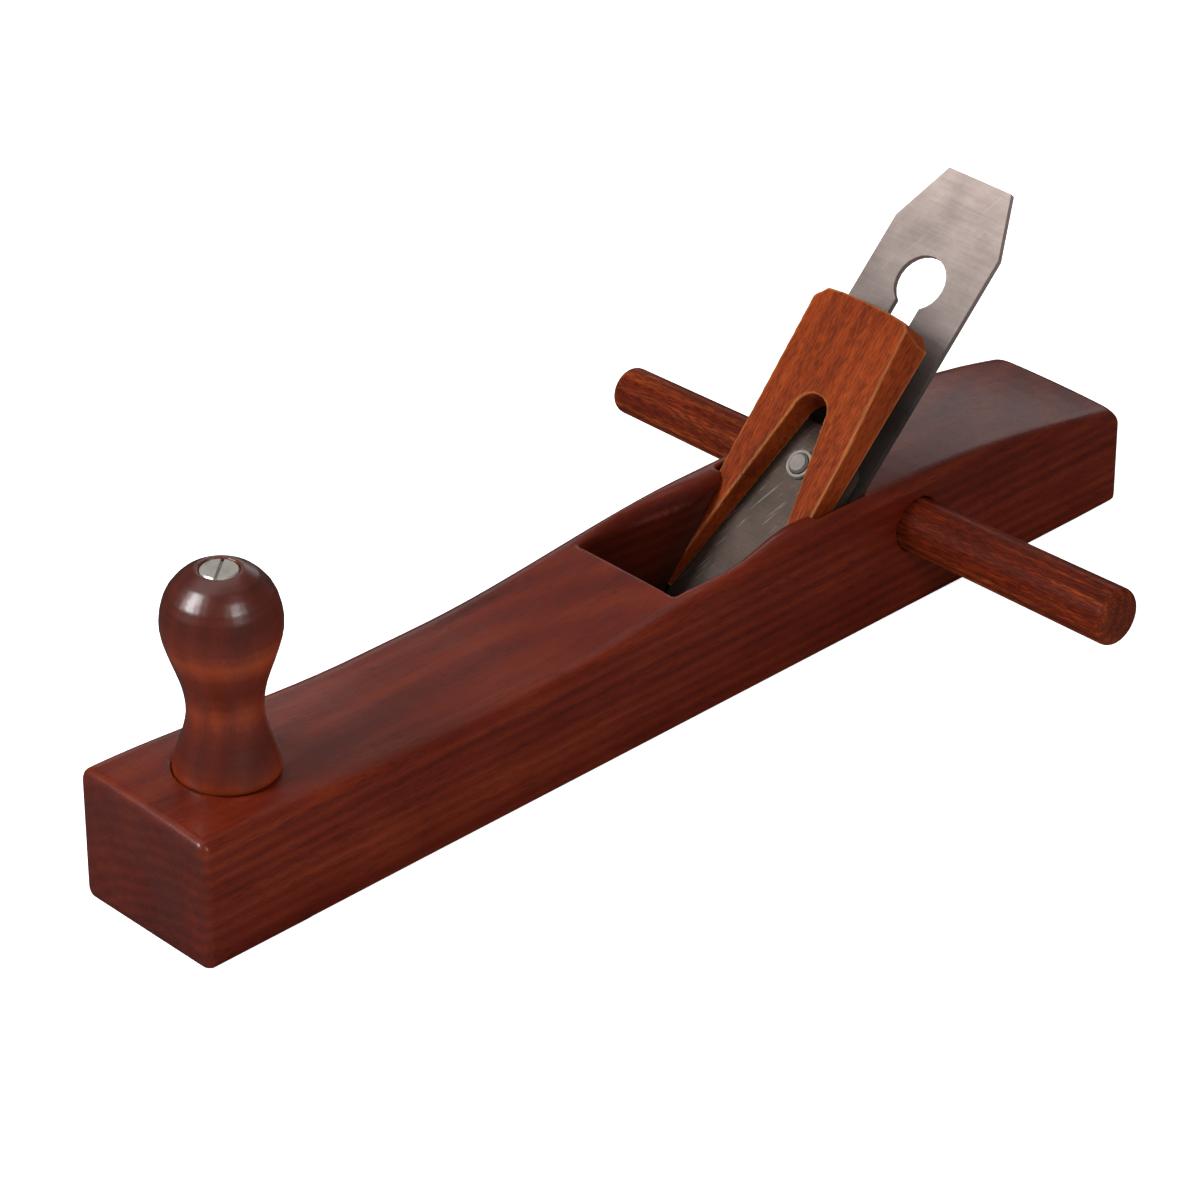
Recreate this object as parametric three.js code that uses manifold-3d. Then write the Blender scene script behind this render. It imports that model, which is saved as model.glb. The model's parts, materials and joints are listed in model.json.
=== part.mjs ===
// A wooden bench plane: a long stock with a waved top, a double iron held in it by a forked wedge, a turned
// front knob on a wood screw, and a tapered handle bar driven across through the stock.
// Millimetres. +X runs to the toe, +Z up, and +Y to the side where the handle bar is thickest.
// The origin is the middle of the sole.

import * as THREE from "three";
import { ConvexGeometry } from "three/addons/geometries/ConvexGeometry.js";
import { mergeVertices } from "three/addons/utils/BufferGeometryUtils.js";
import Module from "manifold-3d";

const wasm = await Module();
wasm.setup();

const { clamp, degToRad, lerp, smoothstep } = THREE.MathUtils;

// ---------------------------------------------------------------- driving dimensions
const FIT = 0.3; // clearance between pieces that touch
const BEYOND = 10; // how far a cutter runs past the material it opens

const STOCK = {
  length: 452,
  width: 65,
  cheek: 6.5, // wood left beside the iron
  edgeDepth: 5.4, // round-over of the long top edges, down the sides and across the top
  edgeRadius: 6,
  toeEdgeRadius: 4.5, // across the top where they run out at the toe
  cornerRadius: 9, // how far across the pillowed ends start to fall back
  endFall: 3.2, // how far the ends fall back
  soleEase: 3.6, // how high the sole's edges start to turn in
  crown: 0.8, // fall of the top from the middle line to the sides
  toeLean: 1, // fall of the toe's top on the thick handle's side, and rise on the other
  toeHeight: 50.8, // the four heights of the waved top, on the middle line
  hollowHeight: 44.8,
  crestHeight: 54,
  heelHeight: 38.6,
  hollowFromToe: 120,
  hollowAheadOfEdge: 110,
  crestBehindEdge: 20,
  crestLength: 35,
};

const BED_ANGLE = degToRad(45);

const MOUTH = {
  fromHeel: 191, // the cutting edge, where it would reach the sole
  opening: 4, // gap in the sole ahead of the edge
  wallAngle: degToRad(54.4), // lean of the throat's front wall
};

const THROAT = {
  inset: 1.1, // half width at the front, less than half the iron
  earInset: 6.8, // the same between the ears that hold the wedge
  earLength: 6,
  flareLength: 28,
  rounding: 6, // of the cheeks' inner top edges
  frontRounding: 1.5,
  roundingGrowth: 30,
};

const IRON = {
  sideGap: 0.5,
  setBack: 0.35, // how far the edge waits up the bed, clear of the sole
  length: 199,
  thickness: 2.4,
  shoulder: 174.8, // start of the clipped corners, measured from the edge
  topWidth: 30.6,
  bevel: degToRad(28),
  edgeLand: 0.1,
  slotWidth: 11.6,
  slotEnd: 66, // centre of the slot's lower round end, measured from the edge
  eyeRadius: 10.8, // the slot's upper end, which lets the screw's head through
  eye: 155.5,
};

const CAP = {
  inset: 1.6, // narrower than the iron, on each side
  setBack: 1.8, // from the cutting edge
  lip: 0.5, // thickness at the tip
  thickness: 3,
  rise: 2.4, // gap under the sprung part
  bendEnd: 24,
  settleStart: 82,
  end: 92,
  clip: 11,
};

const BUSH = {
  radius: 5.2,
  flangeRadius: 5.8,
  flangeHeight: 1.2,
  chamfer: 0.5,
};

const SCREW = {
  fromEdge: 75.4,
  radius: 4,
  end: 8.2, // height of its end above the iron
  chamfer: 0.8,
  headRadius: 9.8,
  headHeight: 3.2,
  slotWidth: 1.8,
  slotDepth: 1.5,
};

const WEDGE = {
  inset: 2, // narrower than the iron, on each side
  thickness: 5.4, // at the cutting edge, if it reached so far
  taper: degToRad(4),
  tips: 14, // both ends, measured from the cutting edge
  top: 136.5,
  dome: 1,
  clip: 4.5,
  forkTop: 92,
  forkRadius: 7.6,
  legTip: 1.3,
  chamferStart: 80, // a stopped chamfer on one long front edge, growing towards the top
  chamferWidth: 2.5,
  chamferDepth: 8,
};

const HANDLE = {
  behindEdge: 76.9,
  belowCrest: 19.2,
  skew: degToRad(1.94), // the thick end leans towards the heel
  thinEnd: 115, // reach of each end from the stock's middle
  thickEnd: 128,
  thinRadius: 9.2,
  thickRadius: 11,
  thinRound: 3.4,
  thickRound: 3,
};

const KNOB = {
  fromToe: 38,
  sunk: 2.4, // its level seat, below the toe's height
  seatGap: 0.6,
  seatRadius: 18.3,
  // radius and height above the seat, up to the rim round the screw's head
  profile: [
    [18.3, 0],
    [18.7, 2.2],
    [17.2, 8],
    [14.2, 17],
    [13.1, 25],
    [14.5, 34.5],
    [17.8, 44.5],
    [20.3, 53],
    [20.6, 60],
    [18.4, 68.2],
    [13.4, 74.4],
    [8.4, 77.3],
  ],
};

const KNOB_SCREW = {
  radius: 2.6,
  headRadius: 6.65,
  headHeight: 4,
  chamfer: 0.5,
  inStock: 26.5,
  point: 5,
  slotWidth: 1.2,
  slotDepth: 1.2,
  slotAngle: degToRad(38.7),
};

// ---------------------------------------------------------------- places worked out from them
const toeX = STOCK.length / 2;
const heelX = -toeX;
const edgeX = heelX + MOUTH.fromHeel;
const crestFrontX = edgeX - STOCK.crestBehindEdge;
const crestBackX = crestFrontX - STOCK.crestLength;
const hollowBackX = edgeX + STOCK.hollowAheadOfEdge;
const hollowFrontX = toeX - STOCK.hollowFromToe;
const knobX = toeX - KNOB.fromToe;
const seatZ = STOCK.toeHeight - KNOB.sunk;

const ironWidth = STOCK.width - 2 * (STOCK.cheek + IRON.sideGap);
const bedLevel = -IRON.thickness - FIT;
const capFront = CAP.rise + CAP.thickness;
const wedgeBack = capFront + FIT;
const wedgeWidth = ironWidth - 2 * WEDGE.inset;
const bushTop = capFront + FIT + BUSH.flangeHeight;
const headBack = bedLevel - SCREW.headHeight;

// The height of the top on the middle line.
function topHeight(x) {
  if (x < crestBackX) {
    const fall = (crestBackX - x) / (crestBackX - heelX);
    return lerp(STOCK.crestHeight, STOCK.heelHeight, fall * fall);
  }
  if (x < hollowBackX) {
    const drop = smoothstep(x, crestFrontX, hollowBackX);
    return lerp(STOCK.crestHeight, STOCK.hollowHeight, drop);
  }
  return lerp(STOCK.hollowHeight, STOCK.toeHeight, smoothstep(x, hollowFrontX, toeX));
}

function surfaceHeight(x, y) {
  const across = (2 * y) / STOCK.width;
  const lean = STOCK.toeLean * smoothstep(x, hollowFrontX, toeX);
  return topHeight(x) - STOCK.crown * across * across - lean * across;
}

function frontWallX(z) {
  return edgeX + MOUTH.opening + z / Math.tan(MOUTH.wallAngle);
}

// The wedge's front face and the ears' faces it bears on: the height above the iron, s up the bed.
function wedgeFront(s) {
  return wedgeBack + WEDGE.thickness + s * Math.tan(WEDGE.taper);
}

function earFace(s) {
  return wedgeFront(s) + FIT;
}

function aheadOfEars(x, z) {
  const height = (x - edgeX) * Math.sin(BED_ANGLE) + z * Math.cos(BED_ANGLE);
  const s = z * Math.sin(BED_ANGLE) - (x - edgeX) * Math.cos(BED_ANGLE);
  return (height - earFace(s)) * Math.cos(WEDGE.taper);
}

function throatHalfWidth(ahead) {
  const { earInset, inset, earLength, flareLength } = THROAT;
  const flare = smoothstep(ahead, earLength, earLength + flareLength);
  return ironWidth / 2 - lerp(earInset, inset, flare);
}

function handleRadius(y) {
  const along = (y + HANDLE.thinEnd) / (HANDLE.thinEnd + HANDLE.thickEnd);
  return lerp(HANDLE.thinRadius, HANDLE.thickRadius, along);
}

// ---------------------------------------------------------------- frames
// Lies on the iron's face with its origin at the cutting edge: x runs down the bed, y across and z away
// from it, so a place s up the bed has x = up(s).
const bedFrame = new THREE.Group();
bedFrame.position.x = edgeX;
bedFrame.rotation.y = BED_ANGLE;
bedFrame.updateMatrix();

// The irons and the wedge, set back up the bed.
const bedded = new THREE.Group();
bedded.position.x = -IRON.setBack;
bedFrame.add(bedded);

const screwFrame = new THREE.Group();
screwFrame.position.x = up(SCREW.fromEdge);
bedded.add(screwFrame);

const handleFrame = new THREE.Group();
handleFrame.position.set(edgeX - HANDLE.behindEdge, 0, STOCK.crestHeight - HANDLE.belowCrest);
handleFrame.rotation.z = HANDLE.skew;
handleFrame.updateMatrix();

const knobFrame = new THREE.Group();
knobFrame.position.set(knobX, 0, seatZ + FIT);

function up(s) {
  return -s;
}

// ---------------------------------------------------------------- geometry helpers
// Positions only, with the vertices along the seams shared.
function bare(geometry) {
  geometry.deleteAttribute("normal");
  geometry.deleteAttribute("uv");
  return mergeVertices(geometry, 1e-4);
}

function solid(geometry) {
  const merged = bare(geometry);
  const mesh = new wasm.Mesh({
    numProp: 3,
    vertProperties: new Float32Array(merged.attributes.position.array),
    triVerts: new Uint32Array(merged.index.array),
  });
  return new wasm.Manifold(mesh);
}

function geometryOf(manifold) {
  const mesh = manifold.getMesh();
  const geometry = new THREE.BufferGeometry();
  geometry.setAttribute("position", new THREE.BufferAttribute(mesh.vertProperties, 3));
  geometry.setIndex(new THREE.BufferAttribute(mesh.triVerts, 1));
  geometry.computeVertexNormals();
  return geometry;
}

function polygon(corners) {
  return new THREE.Shape(corners.map(([x, y]) => new THREE.Vector2(x, y)));
}

// A plan outline, as a plate between two heights.
function plate(outline, from, to) {
  const depth = to - from;
  const geometry = new THREE.ExtrudeGeometry(outline, { depth, bevelEnabled: false, curveSegments: 10 });
  return geometry.translate(0, 0, from);
}

// A side outline in x and z, made as wide as asked, half to each side.
function across(outline, width) {
  return plate(outline, -width / 2, width / 2).rotateX(Math.PI / 2);
}

function box(x, y, z) {
  const size = [x, y, z].map(([from, to]) => to - from);
  const middle = [x, y, z].map(([from, to]) => (from + to) / 2);
  return new THREE.BoxGeometry(...size).translate(...middle);
}

// Turned about y from [radius, height] pairs that run up the outside.
function turned(profile, segments) {
  return new THREE.LatheGeometry(
    profile.map(([radius, height]) => new THREE.Vector2(radius, height)),
    segments,
  );
}

function upright(geometry) {
  return geometry.rotateX(Math.PI / 2);
}

// A quarter round at the lower or upper end of a turned profile.
function quarterRound(radius, height, round, isUpper) {
  const steps = 5;
  return Array.from({ length: steps + 1 }, (_, i) => {
    const angle = ((i / steps) * Math.PI) / 2;
    const side = isUpper ? Math.cos(angle) : Math.sin(angle);
    const rise = isUpper ? Math.sin(angle) - 1 : 1 - Math.cos(angle);
    return [radius - round + round * side, height + round * rise];
  });
}

// A block with rounded edges and rows of vertices along its flats, which can then be bent. radiiAt gives
// how far the rounding reaches along x, y and z, for a place from 0 to 1 along the block.
function roundedBlock(size, radiiAt, flats, rounds) {
  const cells = flats.clone().addScalar(2 * rounds);
  const geometry = bare(new THREE.BoxGeometry(1, 1, 1, cells.x, cells.y, cells.z));
  const places = geometry.attributes.position;
  const flat = new THREE.Vector3();
  const outward = new THREE.Vector3();
  for (let i = 0; i < places.count; i += 1) {
    const vertex = new THREE.Vector3().fromBufferAttribute(places, i);
    for (const axis of ["x", "y", "z"]) {
      const row = Math.round((vertex[axis] + 0.5) * cells[axis]);
      const low = Math.max(0, rounds - row) / rounds;
      const high = Math.max(0, row - flats[axis] - rounds) / rounds;
      outward[axis] = Math.tan(((high - low) * Math.PI) / 4);
      flat[axis] = clamp((row - rounds) / flats[axis], 0, 1) - 0.5;
    }
    const radii = radiiAt(flat.x + 0.5);
    const core = size.clone().addScaledVector(radii, -2);
    vertex.copy(flat).multiply(core).add(outward.normalize().multiply(radii));
    places.setXYZ(i, vertex.x, vertex.y, vertex.z);
  }
  return geometry;
}

// ---------------------------------------------------------------- stock
function edgeRadiiAt(along) {
  const { edgeDepth, edgeRadius, toeEdgeRadius, cornerRadius, endFall } = STOCK;
  const fromEnd = Math.min(along, 1 - along);
  const atEnd = lerp(cornerRadius, edgeRadius, smoothstep(fromEnd, 0, 0.04));
  const radius = lerp(atEnd, toeEdgeRadius, smoothstep(along, 0.75, 1));
  return new THREE.Vector3(endFall, radius, edgeDepth);
}

function stockBlock() {
  const { length, width, crestHeight, edgeDepth, soleEase } = STOCK;
  const belowSole = edgeDepth - soleEase;
  const size = new THREE.Vector3(length, width, crestHeight + belowSole);
  const block = roundedBlock(size, edgeRadiiAt, new THREE.Vector3(44, 6, 2), 3);
  block.translate(0, 0, (crestHeight - belowSole) / 2);
  const places = block.attributes.position;
  for (let i = 0; i < places.count; i += 1) {
    const top = surfaceHeight(places.getX(i), places.getY(i));
    places.setZ(i, (places.getZ(i) * top) / crestHeight);
  }
  const waste = box([-length, length], [-width, width], [-length, 0]);
  return solid(block).subtract(solid(waste));
}

function behindFrontWall() {
  const high = STOCK.crestHeight + BEYOND;
  const corners = [
    [heelX, -BEYOND],
    [frontWallX(-BEYOND), -BEYOND],
    [frontWallX(high), high],
    [heelX, high],
  ];
  return solid(across(polygon(corners), STOCK.width));
}

// The groove between the bed and the ears, in which the irons and the wedge slide.
function beddingGroove() {
  const low = -BEYOND;
  const high = 2 * STOCK.crestHeight;
  const corners = [
    [up(low), bedLevel],
    [up(high), bedLevel],
    [up(high), earFace(high)],
    [up(low), earFace(low)],
  ];
  const groove = across(polygon(corners), ironWidth + 2 * IRON.sideGap);
  return solid(groove.applyMatrix4(bedFrame.matrix));
}

// The room ahead of the ears, which widens towards the front.
function throatFlare() {
  const { earLength, flareLength } = THROAT;
  const steps = 7;
  const flare = Array.from({ length: steps + 1 }, (_, i) => earLength + (flareLength * i) / steps);
  const stations = [-1, ...flare, 2 * STOCK.crestHeight];
  const left = stations.map((ahead) => [ahead, throatHalfWidth(ahead)]);
  const right = stations.map((ahead) => [ahead, -throatHalfWidth(ahead)]).reverse();
  const tool = plate(polygon([...left, ...right]), 0, 3 * STOCK.crestHeight);
  const { taper } = WEDGE;
  const alongEars = new THREE.Matrix4().makeBasis(
    new THREE.Vector3(Math.sin(taper), 0, Math.cos(taper)),
    new THREE.Vector3(0, 1, 0),
    new THREE.Vector3(-Math.cos(taper), 0, Math.sin(taper)),
  );
  alongEars.setPosition(up(-BEYOND), 0, earFace(-BEYOND));
  return solid(tool.applyMatrix4(alongEars).applyMatrix4(bedFrame.matrix));
}

// Rounds a cheek's inner top edge, a little at the front wall and fully over the ear.
function cheekRounding(side) {
  const corner = new THREE.Shape();
  corner.moveTo(-1, -1);
  corner.lineTo(0, -1);
  corner.absarc(1, -1, 1, Math.PI, Math.PI / 2, true);
  corner.lineTo(1, 1);
  corner.lineTo(-1, 1);
  const options = { depth: 1, steps: 14, bevelEnabled: false, curveSegments: 5 };
  const cutter = bare(new THREE.ExtrudeGeometry(corner, options));
  const backX = edgeX - STOCK.crestHeight / Math.tan(BED_ANGLE);
  const frontX = frontWallX(topHeight(edgeX));
  const places = cutter.attributes.position;
  for (let i = 0; i < places.count; i += 1) {
    const along = side > 0 ? places.getZ(i) : 1 - places.getZ(i);
    const x = lerp(backX, frontX, along);
    const growth = smoothstep(frontX - x, 0, THROAT.roundingGrowth);
    const radius = lerp(THROAT.frontRounding, THROAT.rounding, growth);
    const wall = throatHalfWidth(aheadOfEars(x, topHeight(x)));
    const y = side * (wall + places.getX(i) * radius);
    places.setXYZ(i, x, y, surfaceHeight(x, y) + places.getY(i) * radius);
  }
  return solid(cutter);
}

// The channel in the bed that the head of the cap iron's screw slides in.
function headChannel() {
  const half = SCREW.headRadius + 4 * FIT;
  const foot = SCREW.fromEdge - SCREW.headRadius - 12 * FIT;
  const channel = box(
    [up(2 * STOCK.crestHeight), up(foot)],
    [-half, half],
    [headBack - 3 * FIT, bedLevel + 1],
  );
  return solid(channel.applyMatrix4(bedFrame.matrix));
}

function handleBore() {
  const half = STOCK.width / 2 + BEYOND;
  const bore = turned(
    [
      [0, -half],
      [handleRadius(-half) + FIT, -half],
      [handleRadius(half) + FIT, half],
      [0, half],
    ],
    28,
  );
  return solid(bore.applyMatrix4(handleFrame.matrix));
}

function knobSeat() {
  const { radius, inStock, point } = KNOB_SCREW;
  const seatRadius = KNOB.seatRadius + KNOB.seatGap;
  const seat = turned(
    [
      [0, -inStock - point],
      [radius + FIT, -inStock],
      [radius + FIT, 0],
      [seatRadius, 0],
      [seatRadius, BEYOND],
      [0, BEYOND],
    ],
    32,
  );
  return solid(upright(seat).translate(knobX, 0, seatZ));
}

function stock() {
  const throat = beddingGroove().add(throatFlare());
  const roundings = cheekRounding(1).add(cheekRounding(-1));
  return stockBlock()
    .subtract(throat.add(roundings).intersect(behindFrontWall()))
    .subtract(headChannel())
    .subtract(handleBore())
    .subtract(knobSeat());
}

// ---------------------------------------------------------------- irons
function planeIron() {
  const side = ironWidth / 2;
  const outline = polygon([
    [0, -side],
    [0, side],
    [up(IRON.shoulder), side],
    [up(IRON.length), IRON.topWidth / 2],
    [up(IRON.length), -IRON.topWidth / 2],
    [up(IRON.shoulder), -side],
  ]);
  const slotHalf = IRON.slotWidth / 2;
  const spread = Math.asin(slotHalf / IRON.eyeRadius);
  const keyhole = new THREE.Path();
  keyhole.absarc(up(IRON.eye), 0, IRON.eyeRadius, spread, 2 * Math.PI - spread, false);
  keyhole.absarc(up(IRON.slotEnd), 0, slotHalf, -Math.PI / 2, Math.PI / 2, false);
  outline.holes.push(keyhole);

  const back = -2 * IRON.thickness;
  const slope = Math.tan(IRON.bevel);
  const underBevel = polygon([
    [1, slope - IRON.edgeLand],
    [1, back],
    [back / slope, back],
    [0, -IRON.edgeLand],
  ]);
  return solid(plate(outline, -IRON.thickness, 0)).subtract(solid(across(underBevel, 2 * ironWidth)));
}

// The sprung cap iron: its tip and its upper end rest on the iron, the flat between stands off it.
function capIron() {
  const { setBack, lip, thickness, rise, bendEnd, settleStart, end, clip } = CAP;
  const bend = lerp(setBack, bendEnd, 0.4);
  const settle = (settleStart + end) / 2;
  const profile = new THREE.Shape();
  profile.moveTo(up(setBack), FIT);
  profile.lineTo(up(setBack), FIT + lip);
  profile.quadraticCurveTo(up(bend), capFront, up(bendEnd), capFront);
  profile.lineTo(up(settleStart), capFront);
  profile.quadraticCurveTo(up(settle), capFront, up(end), FIT + thickness);
  profile.lineTo(up(end), FIT);
  profile.quadraticCurveTo(up(settle), rise, up(settleStart), rise);
  profile.lineTo(up(bendEnd), rise);
  profile.quadraticCurveTo(up(bend), rise, up(setBack), FIT);

  const side = ironWidth / 2 - CAP.inset;
  const plan = polygon([
    [BEYOND, -side],
    [BEYOND, side],
    [up(end - clip), side],
    [up(end + 1), side - clip - 1],
    [up(end + 1), clip + 1 - side],
    [up(end - clip), -side],
  ]);
  const hole = new THREE.Path().absarc(up(SCREW.fromEdge), 0, BUSH.radius + FIT, 0, 2 * Math.PI, false);
  plan.holes.push(hole);
  return solid(across(profile, 2 * side)).intersect(solid(plate(plan, -1, 2 * capFront)));
}

// The threaded bush riveted into the cap iron, standing on its own axis.
function capIronBush() {
  const { radius, flangeRadius, chamfer } = BUSH;
  const bore = SCREW.radius + FIT;
  const flangeFoot = capFront + FIT;
  return turned(
    [
      [bore, CAP.rise],
      [radius, CAP.rise],
      [radius, flangeFoot],
      [flangeRadius, flangeFoot],
      [flangeRadius, bushTop - chamfer],
      [flangeRadius - chamfer, bushTop],
      [bore, bushTop],
      [bore, CAP.rise],
    ],
    32,
  );
}

// The screw that holds the cap iron on the iron, with its slotted head behind the iron.
function capIronScrew() {
  const { radius, end, chamfer, headRadius, slotWidth, slotDepth } = SCREW;
  const screw = turned(
    [
      [0, headBack],
      [headRadius - chamfer, headBack],
      [headRadius, headBack + chamfer],
      [headRadius, bedLevel],
      [radius, bedLevel],
      [radius, end - chamfer],
      [radius - chamfer, end],
      [0, end],
    ],
    32,
  );
  const slot = box(
    [-slotWidth / 2, slotWidth / 2],
    [-2 * headRadius, 2 * headRadius],
    [headBack - 1, headBack + slotDepth],
  );
  return solid(upright(screw)).subtract(solid(slot));
}

// ---------------------------------------------------------------- wedge
function fork() {
  const { tips, forkTop, forkRadius, legTip } = WEDGE;
  const growth = (wedgeWidth / 2 - legTip - forkRadius) / (forkTop - tips);
  const low = tips - 1;
  const lowHalf = forkRadius + growth * (forkTop - low);
  const outline = new THREE.Shape();
  outline.moveTo(up(low), -lowHalf);
  outline.lineTo(up(forkTop), -forkRadius);
  outline.absarc(up(forkTop), 0, forkRadius, -Math.PI / 2, Math.PI / 2, true);
  outline.lineTo(up(low), lowHalf);
  return solid(plate(outline, 0, 2 * wedgeFront(forkTop)));
}

// The chamfer on the front edge of one side.
function stoppedChamfer(side) {
  const end = WEDGE.top + BEYOND;
  const grown = (end - WEDGE.chamferStart) / (WEDGE.top - WEDGE.chamferStart);
  const edge = (side * wedgeWidth) / 2;
  const corners = [
    new THREE.Vector3(up(WEDGE.chamferStart), edge, wedgeFront(WEDGE.chamferStart)),
    new THREE.Vector3(up(end), edge - side * grown * WEDGE.chamferWidth, wedgeFront(end)),
    new THREE.Vector3(up(end), edge, wedgeFront(end) - grown * WEDGE.chamferDepth),
  ];
  const outward = new THREE.Vector3(0, side * BEYOND, BEYOND);
  const outer = corners.map((corner) => corner.clone().add(outward));
  return solid(new ConvexGeometry([...corners, ...outer]));
}

function wedge() {
  const { tips, top, dome, clip } = WEDGE;
  const side = across(
    polygon([
      [up(tips), wedgeBack],
      [up(tips), wedgeFront(tips)],
      [up(top + dome), wedgeFront(top + dome)],
      [up(top + dome), wedgeBack],
    ]),
    2 * wedgeWidth,
  );
  const half = wedgeWidth / 2;
  const plan = new THREE.Shape();
  plan.moveTo(0, -half);
  plan.lineTo(0, half);
  plan.lineTo(up(top - clip), half);
  plan.lineTo(up(top), half - clip);
  plan.quadraticCurveTo(up(top + 2 * dome), 0, up(top), clip - half);
  plan.lineTo(up(top - clip), -half);
  return solid(side)
    .intersect(solid(plate(plan, 0, 2 * wedgeFront(top))))
    .subtract(fork())
    .subtract(stoppedChamfer(1));
}

// ---------------------------------------------------------------- handle bar and knob
function crossHandle() {
  const { thinEnd, thickEnd, thinRadius, thickRadius, thinRound, thickRound } = HANDLE;
  return turned(
    [
      [0, -thinEnd],
      ...quarterRound(thinRadius, -thinEnd, thinRound, false),
      ...quarterRound(thickRadius, thickEnd, thickRound, true),
      [0, thickEnd],
    ],
    36,
  );
}

function knobTop() {
  return KNOB.profile.at(-1)[1];
}

function frontKnob() {
  const outside = new THREE.SplineCurve(KNOB.profile.map(([x, y]) => new THREE.Vector2(x, y)));
  const headRecess = KNOB_SCREW.headRadius + FIT;
  const recessFloor = knobTop() - KNOB_SCREW.headHeight - FIT;
  const bore = KNOB_SCREW.radius + FIT;
  const foot = KNOB.profile[0];
  return turned(
    [
      ...outside.getPoints(24).map(({ x, y }) => [x, y]),
      [headRecess, knobTop()],
      [headRecess, recessFloor],
      [bore, recessFloor],
      [bore, 0],
      foot,
    ],
    40,
  );
}

function knobScrew() {
  const { radius, headRadius, headHeight, chamfer, inStock, point, slotWidth, slotDepth } = KNOB_SCREW;
  const top = knobTop();
  const tip = -FIT - inStock;
  const screw = turned(
    [
      [0, tip],
      [radius, tip + point],
      [radius, top - headHeight],
      [headRadius, top - headHeight],
      [headRadius, top - chamfer],
      [headRadius - chamfer, top],
      [0, top],
    ],
    36,
  );
  const slot = box(
    [-2 * headRadius, 2 * headRadius],
    [-slotWidth / 2, slotWidth / 2],
    [top - slotDepth, top + 1],
  );
  return solid(upright(screw)).subtract(solid(slot.rotateZ(KNOB_SCREW.slotAngle)));
}

// ---------------------------------------------------------------- assembly
function paint(color, roughness, metalness) {
  return new THREE.MeshStandardMaterial({ color, roughness, metalness });
}

function add(parent, name, geometry, material) {
  const mesh = new THREE.Mesh(geometry, material);
  mesh.name = name;
  parent.add(mesh);
  return mesh;
}

const plane = new THREE.Group();
plane.add(bedFrame, handleFrame, knobFrame);

add(plane, "stock", geometryOf(stock()), paint(0x5a231d, 0.35, 0));
add(bedded, "plane_iron", geometryOf(planeIron()), paint(0xa39893, 0.38, 1));
add(bedded, "cap_iron", geometryOf(capIron()), paint(0x6b6560, 0.42, 1));
add(screwFrame, "cap_iron_bush", upright(capIronBush()), paint(0xa8a098, 0.35, 1));
add(screwFrame, "cap_iron_screw", geometryOf(capIronScrew()), paint(0xb9b4ae, 0.28, 1));
add(bedded, "wedge", geometryOf(wedge()), paint(0x96412a, 0.45, 0));
add(handleFrame, "cross_handle", crossHandle(), paint(0x7a3424, 0.42, 0));
add(knobFrame, "front_knob", upright(frontKnob()), paint(0x7c3318, 0.25, 0));
add(knobFrame, "knob_screw", geometryOf(knobScrew()), paint(0xc9c3ba, 0.25, 1));

export default plane;
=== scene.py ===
"""A wooden bench plane on a pale floor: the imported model's shapes with their woods, steels and light."""

import json
import math

import bpy
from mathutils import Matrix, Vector, kdtree


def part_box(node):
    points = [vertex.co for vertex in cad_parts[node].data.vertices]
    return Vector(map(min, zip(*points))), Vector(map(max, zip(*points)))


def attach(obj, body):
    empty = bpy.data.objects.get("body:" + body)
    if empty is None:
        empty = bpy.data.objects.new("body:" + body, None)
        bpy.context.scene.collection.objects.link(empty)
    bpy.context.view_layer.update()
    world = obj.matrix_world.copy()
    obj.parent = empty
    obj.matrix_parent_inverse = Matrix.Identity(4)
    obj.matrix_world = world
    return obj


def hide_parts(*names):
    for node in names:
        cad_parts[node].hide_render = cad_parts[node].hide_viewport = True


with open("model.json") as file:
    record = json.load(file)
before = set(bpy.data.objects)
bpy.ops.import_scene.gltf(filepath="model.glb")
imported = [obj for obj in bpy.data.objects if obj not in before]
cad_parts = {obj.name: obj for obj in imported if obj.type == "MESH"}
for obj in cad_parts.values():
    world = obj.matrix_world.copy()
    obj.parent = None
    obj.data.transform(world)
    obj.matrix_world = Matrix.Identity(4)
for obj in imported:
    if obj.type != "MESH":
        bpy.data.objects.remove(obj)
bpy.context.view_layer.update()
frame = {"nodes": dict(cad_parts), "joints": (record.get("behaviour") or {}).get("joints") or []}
nodes = frame["nodes"]
scene = bpy.context.scene

MM = 0.001
WORLD_LIGHT = 0.36
WORLD_GLOSS = 0.07  # what lacquer and steel mirror where no softbox is
FLOOR_GLOW = 0.86  # seen by the camera only, so that shadows stay faint
FLOOR_HALF = 6.0
LENS = 157.61
CAMERA_PLACE = Vector((1.11469, 1.14801, 1.0024))
CAMERA_AIM = Vector((-0.59169, -0.6184, -0.5172))
ALONG_STOCK = Vector((1, 0, 0))
UP_THE_BED = Vector((-1, 0, 1)).normalized()
AWAY_FROM_BED = Vector((1, 0, 1)).normalized()
UPWARD = Vector((0, 0, 1))


def joint_axis(name):
    joint = next(joint for joint in frame["joints"] if joint["name"] == name)
    return Vector(joint["axis"]).normalized()


ALONG_HANDLE = joint_axis("handle_slide")


def middle(node):
    low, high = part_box(node)
    return (Vector(low) + Vector(high)) / 2


# ---------------------------------------------------------------- materials
def linear(code):
    """The linear colour of a six-digit sRGB code."""
    parts = [int(code[i : i + 2], 16) / 255 for i in (0, 2, 4)]
    curve = [p / 12.92 if p < 0.04045 else ((p + 0.055) / 1.055) ** 2.4 for p in parts]
    return (*curve, 1.0)


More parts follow.
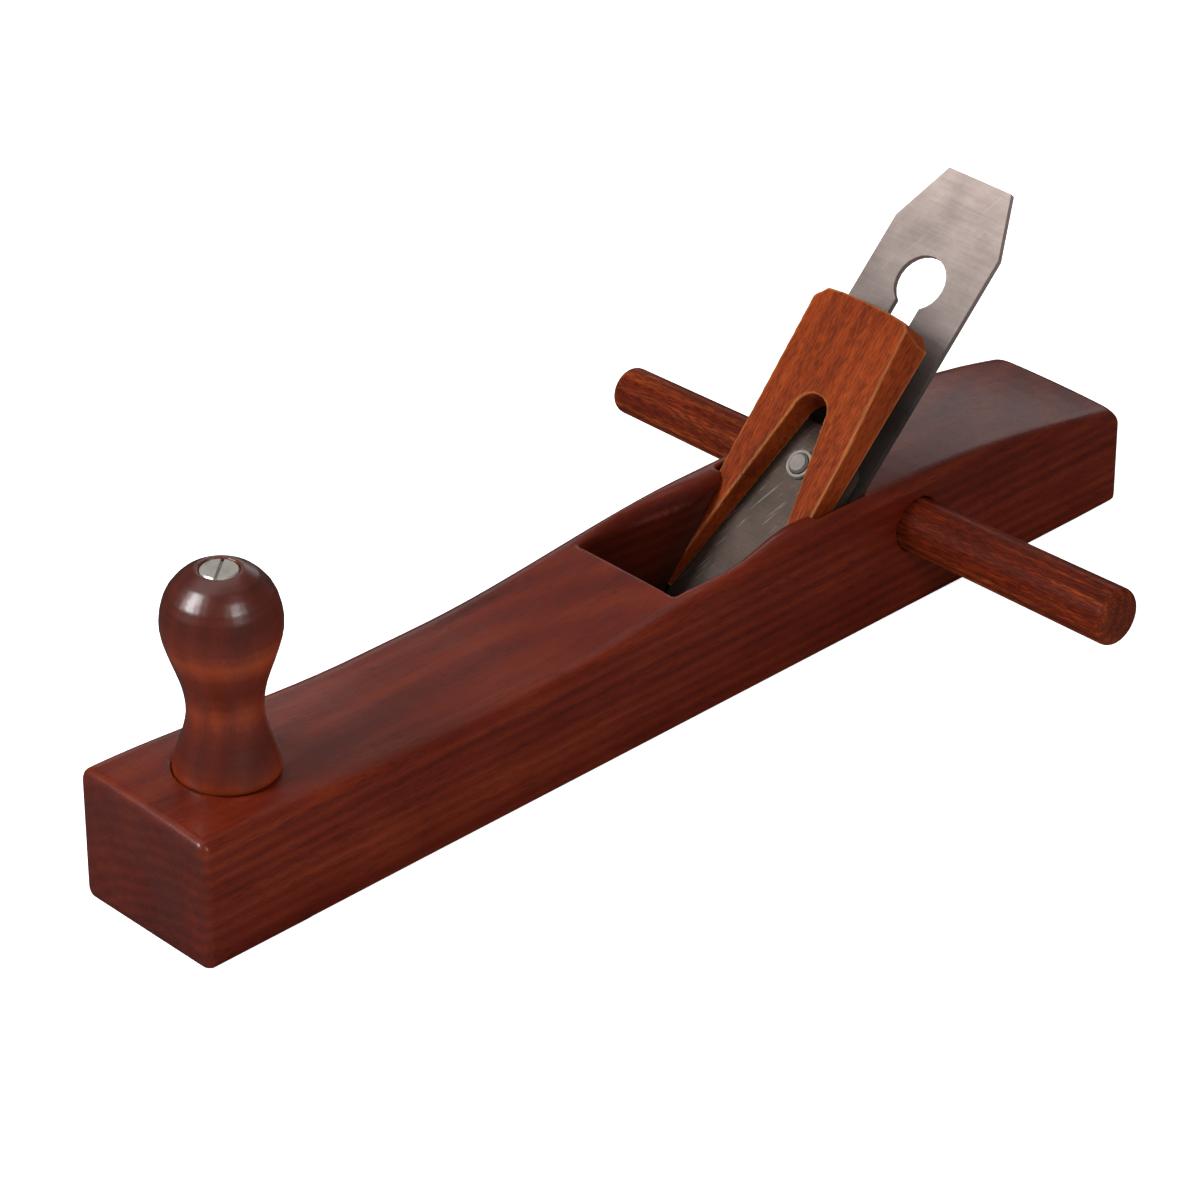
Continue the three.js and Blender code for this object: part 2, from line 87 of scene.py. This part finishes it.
class Shader:
    """One material and short ways to add nodes to it."""

    def __init__(self, name):
        self.material = bpy.data.materials.new(name)
        self.material.use_nodes = True
        self.tree = self.material.node_tree
        self.surface = self.tree.nodes["Principled BSDF"]

    def put(self, socket, value):
        if isinstance(value, bpy.types.NodeSocket):
            self.tree.links.new(value, socket)
        else:
            socket.default_value = value

    def add(self, kind, inputs, **settings):
        node = self.tree.nodes.new("ShaderNode" + kind)
        for key, value in settings.items():
            setattr(node, key, value)
        for key, value in inputs.items():
            self.put(node.inputs[key], value)
        return node

    def finish(self, **inputs):
        for key, value in inputs.items():
            self.put(self.surface.inputs[key.replace("_", " ")], value)

    def math(self, operation, a, b=0.0):
        return self.add("Math", {0: a, 1: b}, operation=operation).outputs[0]

    def mix(self, a, b, factor, blend="MIX"):
        inputs = {0: factor, 6: a, 7: b}
        return self.add("Mix", inputs, data_type="RGBA", blend_type=blend).outputs[2]

    def ramp(self, factor, stops):
        node = self.add("ValToRGB", {0: factor})
        elements = node.color_ramp.elements
        while len(elements) < len(stops):
            elements.new(0.5)
        for element, (place, colour) in zip(elements, stops):
            element.position = place
            element.color = colour if isinstance(colour, tuple) else (colour, colour, colour, 1)
        return node.outputs[0]

    def place(self, direction=ALONG_STOCK, origin=(0, 0, 0)):
        """Object coordinates with their x turned along a direction."""
        turn = ALONG_STOCK.rotation_difference(direction).to_euler()
        coordinates = self.add("TexCoord", {}).outputs["Object"]
        inputs = {"Vector": coordinates, "Location": origin, "Rotation": turn}
        return self.add("Mapping", inputs, vector_type="TEXTURE").outputs[0]

    def stretched(self, vector, scale):
        return self.add("VectorMath", {0: vector, 1: scale}, operation="MULTIPLY").outputs[0]

    def noise(self, vector, scale, detail=3.0, roughness=0.5, distortion=0.0):
        """Noise with its own count of features per metre along each axis."""
        inputs = {
            "Vector": self.stretched(vector, scale),
            "Scale": 1.0,
            "Detail": detail,
            "Roughness": roughness,
            "Distortion": distortion,
        }
        return self.add("TexNoise", inputs).outputs["Fac"]

    def bump(self, height, distance, strength=1.0, normal=None):
        inputs = {"Height": height, "Distance": distance, "Strength": strength}
        if normal is not None:
            inputs["Normal"] = normal
        return self.add("Bump", inputs).outputs[0]

    def product(self, a, b):
        return self.math("MULTIPLY", a, b)

    def weighted(self, parts, strength, centre=0.5):
        """Shares of several sockets, swinging about a centre value."""
        total = centre - strength * sum(share for _, share in parts) / 2
        for socket, share in parts:
            total = self.math("ADD", self.product(socket, strength * share), total)
        return total

    def facing(self, direction):
        """1 where the piece's surface faces along a direction or against it, 0 where it lies along it."""
        normal = self.add("TexCoord", {}).outputs["Normal"]
        across = self.add("VectorMath", {0: normal, 1: direction}, operation="DOT_PRODUCT")
        return self.math("ABSOLUTE", across.outputs["Value"])

    def sharpness(self, low, high):
        """0 on flats and hollows, 1 on the outer edges."""
        point = self.add("NewGeometry", {}).outputs["Pointiness"]
        return self.ramp(point, [(low, 0.0), (high, 1.0)])


def growth_rings(shader, grain, count):
    inputs = {
        "Vector": shader.stretched(grain, (0.12, 1, 1)),
        "Scale": count,
        "Distortion": 5.0,
        "Detail": 3.0,
        "Detail Scale": 0.6,
    }
    wave = shader.add("TexWave", inputs, wave_type="RINGS", rings_direction="X")
    return wave.outputs["Fac"]


def grain_tone(shader, grain, look, fibres, blotches):
    """Around 0.5: lower where the wood is darker, higher where it is lighter."""
    bands = growth_rings(shader, grain, look["rings"])
    wander = shader.noise(grain, (5, 22, 22), detail=2)
    streaks = shader.noise(grain, (7, 230, 230), detail=4, roughness=0.6, distortion=0.3)
    shares = [
        (bands, look["band_share"]),
        (streaks, 0.35),
        (blotches, 0.5),
        (wander, 0.3),
        (fibres, 0.25),
    ]
    return shader.weighted(shares, look["figure"])


def end_grain(shader, grain, direction, most):
    ends = shader.ramp(shader.facing(direction), [(0.6, 0.0), (0.97, most)])
    patches = shader.noise(grain, (60, 60, 60), detail=4)
    return shader.product(ends, shader.ramp(patches, [(0.35, 0.5), (0.62, 1.0)]))


def open_pores(shader, grain, edge):
    """1 in the short dark slots along the grain, which crowd together in places."""
    slots = shader.noise(grain, (210, 2300, 2300), detail=1, roughness=0.4)
    crowding = shader.noise(grain, (30, 260, 260), detail=2)
    depth = shader.math("ADD", slots, shader.product(crowding, 0.35))
    return shader.ramp(depth, [(edge, 0.0), (edge + 0.08, 1.0)])


def rubbed_edges(shader, blotches, wear):
    rubbed = shader.product(shader.sharpness(0.508, 0.56), wear)
    return shader.product(rubbed, shader.ramp(blotches, [(0.35, 0.35), (0.6, 1.0)]))


def wood(name, look, direction, origin, glow=None, grime=None):
    """Lacquered hardwood with its grain along a direction and growth rings round an axis through origin.

    glow makes a socket that lifts the tone where the stain lies thinner; the last argument makes one that
    darkens it with painted shade.
    """
    shader = Shader(name)
    grain = shader.place(direction, origin)
    fibres = shader.noise(grain, (40, 1900, 1900), detail=2, roughness=0.6)
    blotches = shader.noise(grain, (14, 30, 30), detail=3, roughness=0.6)
    pores = open_pores(shader, grain, look["pore_edge"])

    tone = grain_tone(shader, grain, look, fibres, blotches)
    if glow:
        tone = shader.math("ADD", tone, glow(shader))
    stops = [(0.26, "dark"), (0.5, "body"), (0.74, "light")]
    colour = shader.ramp(tone, [(place, linear(look[key])) for place, key in stops])
    layers = [
        # on the stock this end-grain layer also carries a painted reflection of the floor
        ("end", end_grain(shader, grain, direction, look["end_share"])),
        ("pore", shader.product(pores, look["pore_share"])),
        ("worn", rubbed_edges(shader, blotches, look["wear"])),
    ]
    # painted shade, darkening the recessed walls inside the stock
    if grime:
        layers.append(("grime", grime(shader)))
    for key, cover in layers:
        colour = shader.mix(colour, linear(look[key]), cover)

    height = shader.math("SUBTRACT", shader.product(fibres, 0.35), pores)
    waviness = shader.noise(grain, (30, 90, 90), detail=2)
    film = shader.math("ADD", waviness, shader.product(height, 0.12))
    swell = shader.bump(waviness, 0.25 * MM, 0.5)
    shader.finish(
        Base_Color=colour,
        Roughness=shader.weighted([(fibres, 0.05), (blotches, 0.12)], 1.0, look["roughness"]),
        Normal=shader.bump(height, 0.05 * MM, look["relief"], swell),
        Coat_Normal=shader.bump(film, 0.2 * MM, 0.4),
        Specular_IOR_Level=look["gloss"],
        Coat_Weight=look["coat"],
        Coat_Roughness=look["coat_roughness"],
    )
    return shader.material


def painted_shade_downwards(shader, lie, top, length, share):
    """Painted shade: 1 from top up, falling to a share of that a length below it, along the x of lie."""
    height = shader.add("SeparateXYZ", {0: lie}).outputs["X"]
    below = shader.math("DIVIDE", shader.math("SUBTRACT", top, height), length)
    return shader.ramp(below, [(0.0, 1.0), (1.0, share)])


def ground_steel(name, look, direction, painted_fade=None):
    """Steel with fine grinding lines across a direction, scratches and stains.

    The fade argument (top, length, share) darkens it downwards along the direction with painted shade.
    """
    shader = Shader(name)
    lie = shader.place(direction)
    slanted = shader.place((direction + 0.45 * Vector((0, 1, 0))).normalized())
    lines = shader.noise(lie, look["lines"], detail=3, roughness=0.65)
    clouds = shader.noise(lie, (45, 45, 45), detail=5, roughness=0.65)
    scratches = shader.noise(slanted, (60, 1500, 1500), detail=2, roughness=0.5)
    scratches = shader.ramp(scratches, [(0.66, 0.0), (0.7, 1.0)])
    specks = shader.noise(lie, (420, 420, 420), detail=2)
    specks = shader.ramp(specks, [(0.64, 0.0), (0.72, 1.0)])

    tarnish = linear(look["tarnish"])
    shade = shader.ramp(clouds, [(0.3, tarnish), (0.62, linear(look["colour"]))])
    shade = shader.mix(shade, tarnish, shader.product(specks, 0.35))
    shade = shader.mix(shade, (1, 1, 1, 1), shader.product(scratches, 0.12))
    shade = shader.mix(shade, lines, 0.22, blend="OVERLAY")
    # painted shade, darker downwards along the direction
    if painted_fade:
        shade = shader.mix(shade, painted_shade_downwards(shader, lie, *painted_fade), 1.0, blend="MULTIPLY")

    streak = look["streak"]
    rough = shader.math("ADD", shader.product(lines, streak), look["roughness"] - streak / 2)
    rough = shader.math("ADD", rough, shader.product(clouds, 0.12))
    ground = shader.bump(lines, 0.02 * MM, 0.5)
    normal = shader.bump(scratches, 0.02 * MM, 0.4, ground)
    shader.finish(Base_Color=shade, Metallic=0.6, Roughness=rough, Normal=normal)
    return shader.material


# ---------------------------------------------------------------- meshes
def sharp_edge_tree(mesh, angle=math.radians(25), step=1.0 * MM):
    """Points along the mesh's sharp edges, for nearest-distance questions."""
    faces_of = {}
    for polygon in mesh.polygons:
        for key in polygon.edge_keys:
            faces_of.setdefault(key, []).append(polygon.normal)
    points = []
    for (a, b), normals in faces_of.items():
        if len(normals) == 2 and normals[0].angle(normals[1], 0) < angle:
            continue
        start = mesh.vertices[a].co
        end = mesh.vertices[b].co
        count = max(1, math.ceil((end - start).length / step))
        points.extend(start.lerp(end, i / count) for i in range(count + 1))
    tree = kdtree.KDTree(len(points))
    for index, point in enumerate(points):
        tree.insert(point, index)
    tree.balance()
    return tree


def remeshed(piece, voxel):
    remesh = piece.modifiers.new("remesh", "REMESH")
    remesh.mode = "VOXEL"
    remesh.voxel_size = voxel
    graph = bpy.context.evaluated_depsgraph_get()
    mesh = bpy.data.meshes.new_from_object(piece.evaluated_get(graph))
    piece.modifiers.clear()
    mesh.shade_smooth()
    return mesh


def smoothed(piece, name, passes, group=""):
    smooth = piece.modifiers.new(name, "SMOOTH")
    smooth.factor = 0.5
    smooth.iterations = passes
    smooth.vertex_group = group


def carved(node, body, voxel, crisp, passes):
    """A fine copy of a wooden node: its edges broken a little, its curves evened out away from them."""
    source = nodes[node].data
    piece = bpy.data.objects.new(node + "_wood", source.copy())
    scene.collection.objects.link(piece)
    piece.data = remeshed(piece, voxel)

    edges = sharp_edge_tree(source)
    away = piece.vertex_groups.new(name="away_from_edges")
    for vertex in piece.data.vertices:
        distance = edges.find(vertex.co)[2] / crisp
        away.add([vertex.index], min(1.0, distance) ** 2, "REPLACE")
    smoothed(piece, "broken_edges", 3)
    smoothed(piece, "evened_curves", passes, away.name)
    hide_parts(node)
    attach(piece, body)
    return piece


def eased(node, width):
    """A steel node as it is, with its sharp edges eased."""
    piece = nodes[node]
    bevel = piece.modifiers.new("eased_edges", "BEVEL")
    bevel.width = width
    bevel.segments = 2
    bevel.limit_method = "ANGLE"
    bevel.angle_limit = math.radians(30)
    bevel.use_clamp_overlap = True
    return piece


def dress(piece, material):
    piece.data.materials.clear()
    piece.data.materials.append(material)


# ---------------------------------------------------------------- the pieces
STOCK_LOOK = {
    "dark": "3a0d05",
    "body": "5f1a08",
    "light": "7a2d0e",
    "pore": "2a0a06",
    "worn": "8c4322",
    # end-grain colour of the toe and heel, greyed towards mauve as a painted reflection of the pale floor
    "end": "42211f",
    "end_share": 0.75,
    # colour of the painted shade on the throat walls
    "grime": "160402",
    "rings": 60.0,
    "band_share": 0.12,
    "figure": 0.8,
    "pore_edge": 0.74,
    "pore_share": 0.35,
    "wear": 0.35,
    "relief": 0.35,
    "roughness": 0.4,
    "gloss": 0.15,
    "coat": 0.3,
    "coat_roughness": 0.18,
}
WEDGE_LOOK = {
    **STOCK_LOOK,
    "dark": "5c210c",
    "body": "8b3712",
    "light": "a65222",
    "pore": "3c150a",
    "worn": "cc8c50",
    "end": "6a2e18",
    "end_share": 0.4,
    "rings": 45.0,
    "figure": 0.7,
    "wear": 0.9,
    "pore_edge": 0.66,
    "pore_share": 0.5,
    "roughness": 0.5,
    "gloss": 0.06,
    "coat": 0.02,
}
HANDLE_LOOK = {
    **STOCK_LOOK,
    "dark": "3e1108",
    "body": "66200b",
    "light": "9c4518",
    "pore": "2c0e08",
    "worn": "a45a30",
    "end": "7c3c22",
    "end_share": 0.4,
    "rings": 70.0,
    "figure": 1.1,
    "pore_edge": 0.62,
    "pore_share": 0.6,
    "roughness": 0.5,
    "gloss": 0.05,
    "coat": 0.03,
}
KNOB_LOOK = {
    **STOCK_LOOK,
    "dark": "300d07",
    "body": "64200c",
    "light": "a0400f",
    "worn": "b0561c",
    "end": "34100a",
    "end_share": 0.4,
    "rings": 40.0,
    "figure": 0.22,
    "pore_share": 0.2,
    "wear": 0.2,
    "relief": 0.15,
    "roughness": 0.34,
    "gloss": 0.25,
    "coat": 1.0,
    "coat_roughness": 0.29,
}


def knob_glow(shader):
    """The knob's stain: thin and orange at its foot, its waist and under its head, and dark on the head."""
    low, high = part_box("front_knob")
    height = shader.add("SeparateXYZ", {0: shader.place()}).outputs["Z"]
    share = shader.math("DIVIDE", shader.math("SUBTRACT", height, low[2]), high[2] - low[2])
    low_bands = [(0.0, 0.8), (0.04, 0.6), (0.12, 0.12), (0.2, 0.15), (0.34, 0.75), (0.47, 0.28)]
    high_bands = [(0.56, 0.45), (0.64, 0.85), (0.74, 0.3), (0.82, 0.0), (1.0, 0.0)]
    thin = shader.math("SUBTRACT", shader.ramp(share, low_bands + high_bands), 0.35)
    rings = shader.noise(shader.place(), (4, 4, 700), detail=2)
    return shader.weighted([(thin, 0.3), (rings, 0.12)], 1.0, 0.12)


def throat_grime(shader):
    """Painted shade in the throat: up to 1, low on the walls inside the stock, and 0 on its top, sides,
    ends and sole.
    """
    low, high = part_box("stock")
    inset = 2 * MM
    place = shader.add("SeparateXYZ", {0: shader.place()}).outputs
    cover = shader.ramp(shader.facing(UPWARD), [(0.5, 1.0), (0.8, 0.0)])
    for axis in range(3):
        cover = shader.product(cover, shader.math("GREATER_THAN", place[axis], low[axis] + inset))
        cover = shader.product(cover, shader.math("LESS_THAN", place[axis], high[axis] - inset))
    height = shader.math("DIVIDE", place[2], high[2])
    return shader.product(cover, shader.ramp(height, [(0.2, 1.0), (0.95, 0.35)]))


def wooden(node, body, look, direction, offset, voxel, crisp, passes, **stains):
    """offset is from the piece's middle to the axis of its growth rings; voxel and crisp are in mm."""
    piece = carved(node, body, voxel * MM, crisp * MM, passes)
    slot = body + "_wood"
    dress(piece, wood(slot, look, direction, middle(node) + Vector(offset), **stains))


def make_woods():
    wooden(
        "stock", "stock", STOCK_LOOK, ALONG_STOCK, (0, 0.03, -0.1),
        # the stock's throat walls get painted shade
        voxel=0.8, crisp=4.5, passes=60, grime=throat_grime,
    )
    wooden(
        "wedge", "wedge", WEDGE_LOOK, UP_THE_BED, (0, 0.05, 0),
        voxel=0.6, crisp=3, passes=20,
    )
    wooden(
        "cross_handle", "handle", HANDLE_LOOK, ALONG_HANDLE, (0.02, 0, 0.01),
        voxel=0.6, crisp=3, passes=30,
    )
    wooden(
        "front_knob", "knob", KNOB_LOOK, UPWARD, (0.012, -0.02, 0),
        voxel=0.6, crisp=3, passes=160, glow=knob_glow,
    )


FLAT_STEEL = {"lines": (1500, 60, 60), "streak": 0.16}
SMALL_STEEL = {"lines": (1800, 90, 90), "streak": 0.1}
IRON_LOOK = {**FLAT_STEEL, "colour": "d8c5bd", "tarnish": "bcaaa3", "roughness": 0.34}
CAP_LOOK = {**FLAT_STEEL, "colour": "5b4c44", "tarnish": "463c35", "roughness": 0.36}
BUSH_LOOK = {**SMALL_STEEL, "colour": "aca49c", "tarnish": "6f6862", "roughness": 0.3}
SCREW_LOOK = {**SMALL_STEEL, "colour": "b0a8a4", "tarnish": "7d7670", "roughness": 0.22}
KNOB_SCREW_LOOK = {**SMALL_STEEL, "colour": "d6d0c6", "tarnish": "a39c92", "roughness": 0.24}


def make_steels():
    low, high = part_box("plane_iron")
    iron_top = Vector((low[0], 0, high[2])).dot(UP_THE_BED)
    steels = [
        # the plane iron gets painted shade, darker down the bed towards the wedge
        ("plane_iron", "iron_steel", IRON_LOOK, UP_THE_BED, 0.25, (iron_top, 0.09, 0.12)),
        ("cap_iron", "cap_iron_steel", CAP_LOOK, UP_THE_BED, 0.25, None),
        ("cap_iron_bush", "bush_steel", BUSH_LOOK, AWAY_FROM_BED, 0.12, None),
        ("cap_iron_screw", "screw_steel", SCREW_LOOK, AWAY_FROM_BED, 0.15, None),
        ("knob_screw", "knob_screw_steel", KNOB_SCREW_LOOK, UPWARD, 0.15, None),
    ]
    for node, slot, look, direction, edge, painted_fade in steels:
        dress(eased(node, edge * MM), ground_steel(slot, look, direction, painted_fade))


# ---------------------------------------------------------------- floor, light and camera
def make_floor():
    signs = ((-1, -1), (1, -1), (1, 1), (-1, 1))
    corners = [(x * FLOOR_HALF, y * FLOOR_HALF, 0) for x, y in signs]
    mesh = bpy.data.meshes.new("floor")
    mesh.from_pydata(corners, [], [(0, 1, 2, 3)])
    floor = bpy.data.objects.new("floor", mesh)
    scene.collection.objects.link(floor)
    shader = Shader("floor_paper")
    path = shader.add("LightPath", {})
    pale = (0.92, 0.92, 0.92, 1)
    mirrored = (0.04, 0.04, 0.04, 1)
    shader.finish(
        Base_Color=shader.mix(pale, mirrored, path.outputs["Is Glossy Ray"]),
        Roughness=0.9,
        Specular_IOR_Level=0.0,
        Emission_Color=(1, 1, 1, 1),
        Emission_Strength=shader.product(path.outputs["Is Camera Ray"], FLOOR_GLOW),
    )
    mesh.materials.append(shader.material)


def make_world():
    """White to the camera, an even soft light on the pieces, and dim in what their lacquer mirrors."""
    world = bpy.data.worlds.new("studio")
    scene.world = world
    world.use_nodes = True
    tree = world.node_tree
    path = tree.nodes.new("ShaderNodeLightPath")
    lacquer = tree.nodes.new("ShaderNodeMix")
    lacquer.inputs["A"].default_value = WORLD_LIGHT
    lacquer.inputs["B"].default_value = WORLD_GLOSS
    camera = tree.nodes.new("ShaderNodeMix")
    camera.inputs["B"].default_value = 1.0
    background = tree.nodes["Background"]
    background.inputs["Color"].default_value = (1, 1, 1, 1)
    tree.links.new(path.outputs["Is Glossy Ray"], lacquer.inputs["Factor"])
    tree.links.new(path.outputs["Is Camera Ray"], camera.inputs["Factor"])
    tree.links.new(lacquer.outputs["Result"], camera.inputs["A"])
    tree.links.new(camera.outputs["Result"], background.inputs["Strength"])


def softbox(name, azimuth, elevation, distance, size, power, target):
    """An area light seen from the target at an azimuth from +X towards +Y, facing it."""
    light = bpy.data.lights.new(name, "AREA")
    light.shape = "RECTANGLE"
    light.size, light.size_y = size
    light.energy = power
    lamp = bpy.data.objects.new(name, light)
    scene.collection.objects.link(lamp)
    a = math.radians(azimuth)
    e = math.radians(elevation)
    way = Vector((math.cos(a) * math.cos(e), math.sin(a) * math.cos(e), math.sin(e)))
    lamp.location = target + way * distance
    lamp.rotation_euler = (-way).to_track_quat("-Z", "Y").to_euler()


def make_lights():
    heart = Vector((0, 0, 0.05))
    toe_half = Vector((0.1, 0, 0.05))
    softbox("key_left", -20, 36, 1.3, (0.38, 0.5), 12.0, heart)
    softbox("fill_right", 80, 36, 0.9, (0.24, 0.32), 2.4, toe_half)
    softbox("overhead", -100, 75, 1.5, (1.6, 1.2), 5.0, heart)
    softbox("sheen_behind", -137, 19, 1.5, (1.3, 0.42), 2.0, heart)


def make_camera():
    data = bpy.data.cameras.new("camera")
    data.sensor_width = 36.0
    data.lens = LENS
    data.clip_start = 0.05
    camera = bpy.data.objects.new("camera", data)
    scene.collection.objects.link(camera)
    camera.location = CAMERA_PLACE
    camera.rotation_euler = CAMERA_AIM.to_track_quat("-Z", "Y").to_euler()
    scene.camera = camera


make_woods()
make_steels()
make_floor()
make_world()
make_lights()
make_camera()
scene.view_settings.view_transform = "Standard"
